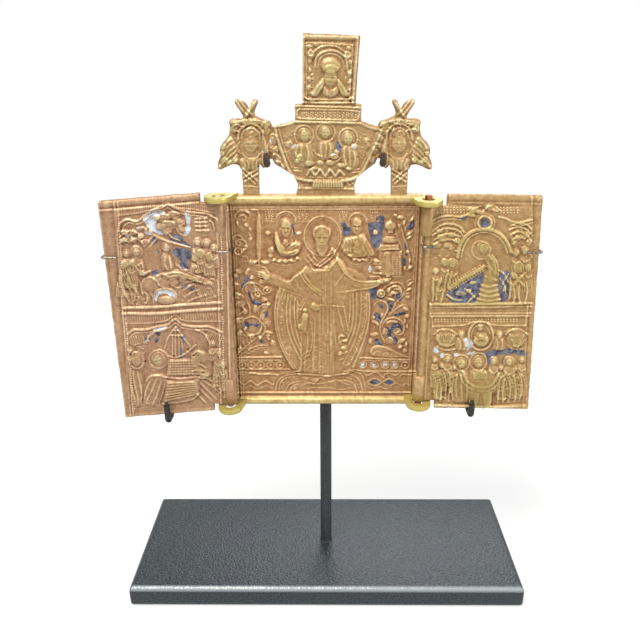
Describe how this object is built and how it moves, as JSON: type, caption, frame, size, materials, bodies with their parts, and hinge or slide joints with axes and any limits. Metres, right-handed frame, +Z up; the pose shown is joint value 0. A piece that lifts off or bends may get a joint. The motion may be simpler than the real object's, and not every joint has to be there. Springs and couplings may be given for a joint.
{
  "type": "folding travel icon on stand",
  "caption": "Cast brass folding devotional icon with hinged side leaves, pierced crest and relief figures, held by wire hooks on a post above a flat steel base.",
  "frame": {"origin": "middle of the underside of the base plate", "axes": "+Z up, +X to the right of a viewer who faces the icon, -Y forward towards that viewer"},
  "size_m": [0.16, 0.06, 0.216],
  "materials": {
    "painted_steel": "dark slate grey powder coat with a fine grain",
    "black_steel": "near-black satin paint",
    "wire_steel": "dull bare wire",
    "sleeve_rubber": "matt black sleeve",
    "brass": "worn cast brass, rubbed bright on the high points and brown in the hollows",
    "copper_pin": "reddish copper rod",
    "dark_enamel": "opaque blue-violet enamel, worn and chipped",
    "pale_enamel": "opaque greyish white enamel, worn and chipped"
  },
  "bodies": {
    "stand": {"base_plate": "painted_steel", "post": "black_steel", "post_screw": "wire_steel", "wing_rail": "black_steel", "left_ledge": "black_steel", "right_ledge": "black_steel", "crest_yoke": "black_steel", "left_crest_sleeve": "sleeve_rubber", "right_crest_sleeve": "sleeve_rubber"},
    "icon": {"centre_leaf": "brass", "centre_enamel_right": "dark_enamel", "centre_enamel_left": "dark_enamel", "centre_enamel_upper": "dark_enamel", "crest_enamel_left": "dark_enamel", "crest_enamel_right": "dark_enamel"},
    "left_leaf": {"left_wing": "brass", "left_enamel_sky": "pale_enamel", "left_enamel_hill": "dark_enamel", "left_enamel_arch": "dark_enamel", "left_hook_wire": "black_steel", "left_hook_sleeve": "sleeve_rubber", "left_clip_wire": "wire_steel", "left_cradle_foot": "black_steel"},
    "right_leaf": {"right_wing": "brass", "right_wing_pin_top": "copper_pin", "right_wing_pin_foot": "copper_pin", "right_enamel_ground": "dark_enamel", "right_enamel_band": "dark_enamel", "right_hook_wire": "black_steel", "right_hook_sleeve": "sleeve_rubber", "right_clip_wire": "wire_steel", "right_cradle_foot": "black_steel"}
  },
  "joints": [
    {"name": "icon_lift", "type": "slide", "parent": "stand", "child": "icon", "axis": [0, 0, 1], "range_m": [0, 0.006]},
    {"name": "left_leaf_hinge", "type": "hinge", "parent": "icon", "child": "left_leaf", "pos_m": [-0.0366, -0.01258, 0.1235], "axis": [0, 0, 1], "range_deg": [0, 160]},
    {"name": "right_leaf_hinge", "type": "hinge", "parent": "icon", "child": "right_leaf", "pos_m": [0.0355, -0.01258, 0.1235], "axis": [0, 0, -1], "range_deg": [0, 174]}
  ]
}
